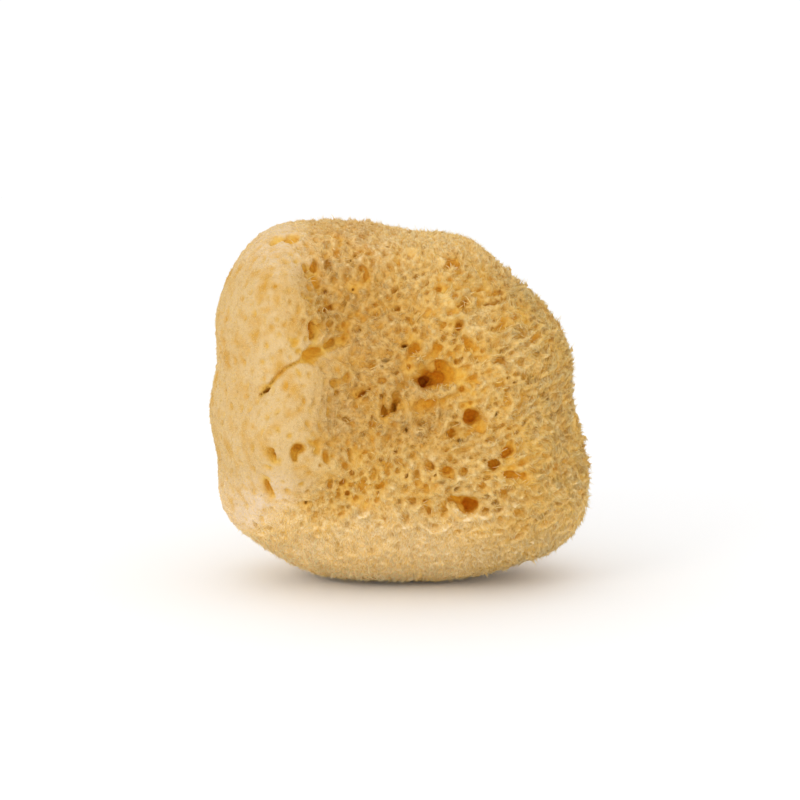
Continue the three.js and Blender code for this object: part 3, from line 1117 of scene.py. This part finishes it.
def add_fuzz(piece, body, density, tufts, material, rng):
    name, segments, stretch, curl = piece
    count = FUZZ_TRIANGLES // len(fibre_triangles(segments))
    roots = random_roots(body, density, count, rng)
    shares = regions(roots)
    out = outward(body.skin, roots)
    index, pull = nearest(tufts.sites, roots, TUFT_REACH)
    pull = pull * changed(1.0, shares, PULL_CHANGES)
    towards = unit(tufts.tips[index] - roots)
    lengths = stretch * rng.uniform(*FIBRE_LENGTH, count) * changed(1.0, shares, FIBRE_LENGTH_CHANGES)
    swirl = tufts.swirl[index] * changed(FIBRE_SWIRL, shares, SWIRL_CHANGES)[:, None]
    loose = unit(FIBRE_OUT * out + swirl)
    aims = unit(loose * (FIBRE_LOOSE - pull)[:, None] + towards * (FIBRE_PULL * pull)[:, None])
    spread = changed(FIBRE_SPREAD, shares, FIBRE_SPREAD_CHANGES)
    aims = unit(aims + spread[:, None] * rng.normal(size=aims.shape))
    widths = rng.uniform(*FIBRE_WIDTH, count) * changed(1.0, shares, FIBRE_WIDTH_CHANGES)
    bends = rng.normal(size=aims.shape) * (curl * lengths)[:, None]
    tone = changed(TUFT_TONE * tufts.tone[index], shares, FIBRE_TONE_CHANGES)
    # Painted highlight on raised skin and painted shade in furrows, plus random tone.
    tone = tone + RELIEF_HIGHLIGHT_AND_SHADE * sample(body.outer, roots) + rng.normal(*FIBRE_TONE, count)
    strands = clear_of_floor(roots, aims, lengths, widths, bends)
    add_fibres(name, strands, segments, tone, material, rng)


def whisker_density(body):
    """How thick whiskers are on each triangle: only on rims, and mostly under a hole."""
    centres = triangle_centres(body.points, body.faces)
    rim = smoothstep(*WHISKER_RIM_FADE, np.abs(sample(body.holes, centres) - WHISKER_RIM))
    rim *= smoothstep(*WHISKER_DEPTH, -sample(body.outer, centres))
    rim *= (1 - smooth_share(*centres.T)) * (centres[:, 2] > WHISKER_CLEARANCE)
    rim *= WHISKER_BELOW_LEAST + smoothstep(*WHISKER_BELOW, outward(body.holes, centres)[:, 2])
    return rim


def add_whiskers(body, material, rng):
    """Long pale fibres that curl over the rims of the breathing holes."""
    roots = random_roots(body, whisker_density(body), WHISKERS, rng)
    out = outward(body.skin, roots)
    over = -along_skin(outward(body.holes, roots), out)
    side = np.cross(over, out) * rng.normal(0.0, WHISKER_ASIDE, WHISKERS)[:, None]
    aims = unit(WHISKER_OUT * out + rng.uniform(*WHISKER_OVER, WHISKERS)[:, None] * over + side)
    lengths = rng.uniform(*WHISKER_LENGTH, WHISKERS)
    curl = over * rng.uniform(*WHISKER_CURL, WHISKERS)[:, None]
    bends = -(curl + WHISKER_DROOP * out) * lengths[:, None]
    bends += rng.normal(size=aims.shape) * (WHISKER_BEND * lengths)[:, None]
    widths = rng.uniform(*WHISKER_WIDTH, WHISKERS)
    strands = clear_of_floor(roots, aims, lengths, widths, bends)
    tone = np.full(WHISKERS, WHISKER_TONE)
    add_fibres("sponge_whiskers", strands, WHISKER_SEGMENTS, tone, material, rng)


# ---- materials


def ramp(tree, source, stops):
    """A colour ramp from (place, colour) stops, fed by a socket."""
    node = tree.nodes.new("ShaderNodeValToRGB")
    node.color_ramp.elements.remove(node.color_ramp.elements[0])
    for i, (place, colour) in enumerate(stops):
        stop = node.color_ramp.elements[0] if i == 0 else node.color_ramp.elements.new(place)
        stop.position = place
        stop.color = (*colour, 1.0)
    tree.links.new(source, node.inputs["Fac"])
    return node.outputs["Color"]


def attribute(tree, name):
    node = tree.nodes.new("ShaderNodeAttribute")
    node.attribute_name = name
    return node.outputs["Fac"]


def noise(tree, scale, detail):
    place = tree.nodes.new("ShaderNodeTexCoord").outputs["Object"]
    node = tree.nodes.new("ShaderNodeTexNoise")
    node.inputs["Scale"].default_value = scale
    node.inputs["Detail"].default_value = detail
    tree.links.new(place, node.inputs["Vector"])
    return node.outputs["Fac"]


def mixed(tree, share, a, b, how="MIX"):
    """Two colours mixed by a share, which may each be a socket. A colour may be three numbers."""
    node = tree.nodes.new("ShaderNodeMix")
    node.data_type = "RGBA"
    node.blend_type = how
    for socket, value in ((node.inputs[0], share), (node.inputs[6], a), (node.inputs[7], b)):
        if isinstance(value, bpy.types.NodeSocket):
            tree.links.new(value, socket)
        else:
            socket.default_value = (*value, 1.0)
    return node.outputs[2]


def spaced(tree, value, low, high):
    """A value rescaled, so that low becomes 0 and high becomes 1."""
    node = tree.nodes.new("ShaderNodeMapRange")
    node.inputs["From Min"].default_value = low
    node.inputs["From Max"].default_value = high
    tree.links.new(value, node.inputs["Value"])
    return node.outputs["Result"]


def tinted(tree, colour, share, tint):
    return mixed(tree, share, colour, tint, "MULTIPLY")


def speckled(tree, colour, scale, detail, shown, tint):
    return tinted(tree, colour, spaced(tree, noise(tree, scale, detail), *shown), tint)


def new_material(name, roughness, specular):
    material = bpy.data.materials.new(name)
    material.use_nodes = True
    shader = material.node_tree.nodes["Principled BSDF"]
    shader.inputs["Roughness"].default_value = roughness
    shader.inputs["Specular IOR Level"].default_value = specular
    return material, material.node_tree, shader


def bumped(tree, shader, height, distance):
    bump = tree.nodes.new("ShaderNodeBump")
    bump.inputs["Distance"].default_value = distance * MM
    tree.links.new(height, bump.inputs["Height"])
    tree.links.new(bump.outputs["Normal"], shader.inputs["Normal"])


def body_material():
    material, tree, shader = new_material("sponge_skin", roughness=0.9, specular=0.2)
    depth = spaced(tree, attribute(tree, "depth"), *DEPTH_RANGE)
    # The depth ramps paint a golden glow in pores and shade in the deepest holes.
    lobes = speckled(tree, ramp(tree, depth, LOBE_GLOW_AND_SHADE_COLOURS), *FRECKLES)
    porous = speckled(tree, ramp(tree, depth, POROUS_GLOW_AND_SHADE_COLOURS), *THREADS)
    colour = mixed(tree, attribute(tree, "smooth"), porous, lobes)
    colour = speckled(tree, colour, *BLOTCHES)
    # Painted light low down and, weakly, over the top.
    colour = tinted(tree, colour, attribute(tree, "low"), LOW_SKIN_PAINTED_LIGHT)
    # Painted shade in the hollow middle of the broad face.
    colour = tinted(tree, colour, attribute(tree, "hollow_shade"), HOLLOW_SHADE_TINT)
    tree.links.new(colour, shader.inputs["Base Color"])
    bumped(tree, shader, noise(tree, *GRAIN), GRAIN_HEIGHT)
    return material


def fibre_material():
    material, tree, shader = new_material("sponge_fibres", roughness=0.8, specular=0.25)
    along = attribute(tree, "along")
    pale = ramp(tree, along, PALE_COLOURS)
    tan = ramp(tree, along, TAN_COLOURS)
    colour = mixed(tree, attribute(tree, "tone"), tan, pale)
    # Painted light low down and, weakly, over the top.
    colour = tinted(tree, colour, attribute(tree, "low"), LOW_FIBRE_PAINTED_LIGHT)
    # Painted shade in the hollow middle of the broad face.
    colour = tinted(tree, colour, attribute(tree, "hollow_shade"), HOLLOW_SHADE_TINT)
    tree.links.new(colour, shader.inputs["Base Color"])
    return material


def floor_material():
    material, _, shader = new_material("floor_white", roughness=0.9, specular=0.5)
    shader.inputs["Base Color"].default_value = FLOOR_COLOUR
    return material


# ---- floor, light and camera


def add_floor():
    mesh = bpy.data.meshes.new("floor")
    sides = [(-1, -1), (1, -1), (1, 1), (-1, 1)]
    mesh.from_pydata([(FLOOR_HALF * x, FLOOR_HALF * y, 0) for x, y in sides], [], [(0, 1, 2, 3)])
    mesh.materials.append(floor_material())
    floor = bpy.data.objects.new("floor", mesh)
    bpy.context.scene.collection.objects.link(floor)


def add_world():
    world = bpy.data.worlds.new("studio")
    world.use_nodes = True
    background = world.node_tree.nodes["Background"]
    background.inputs["Color"].default_value = WORLD_COLOUR
    background.inputs["Strength"].default_value = WORLD_LIGHT
    bpy.context.scene.world = world


def aim(thing, place, target):
    thing.location = place
    thing.rotation_euler = (Vector(target) - Vector(place)).to_track_quat("-Z", "Y").to_euler()
    bpy.context.scene.collection.objects.link(thing)


def add_lamp(middle, name, place, size, power):
    light = bpy.data.lights.new(name, "AREA")
    light.size = size
    light.energy = power
    aim(bpy.data.objects.new(name, light), middle + Vector(place), middle)


def add_camera(middle):
    camera_data = bpy.data.cameras.new("camera")
    camera_data.lens = CAMERA_LENS
    camera = bpy.data.objects.new("camera", camera_data)
    target = middle - Vector((0.0, 0.0, CAMERA_DROP))
    back = Vector((0.0, -math.cos(CAMERA_RISE), math.sin(CAMERA_RISE)))
    aim(camera, target + back * CAMERA_DISTANCE, target)
    bpy.context.scene.camera = camera


def build_sponge():
    rng = np.random.default_rng(SEED)
    body = grown_body(rng)
    add_body(body)
    tufts = combed_tufts(body.tuft_sites, body.tuft_ways, rng)
    density = fuzz_density(body)
    material = fibre_material()
    for piece in FUZZ:
        add_fuzz(piece, body, density, tufts, material, rng)
    add_whiskers(body, material, rng)


def build_studio():
    low_corner, high_corner = (Vector(corner) for corner in cad_box)
    middle = (low_corner + high_corner) / 2
    add_floor()
    add_world()
    for lamp in LAMPS:
        add_lamp(middle, *lamp)
    add_camera(middle)
    bpy.context.scene.view_settings.view_transform = "Standard"


build_sponge()
build_studio()
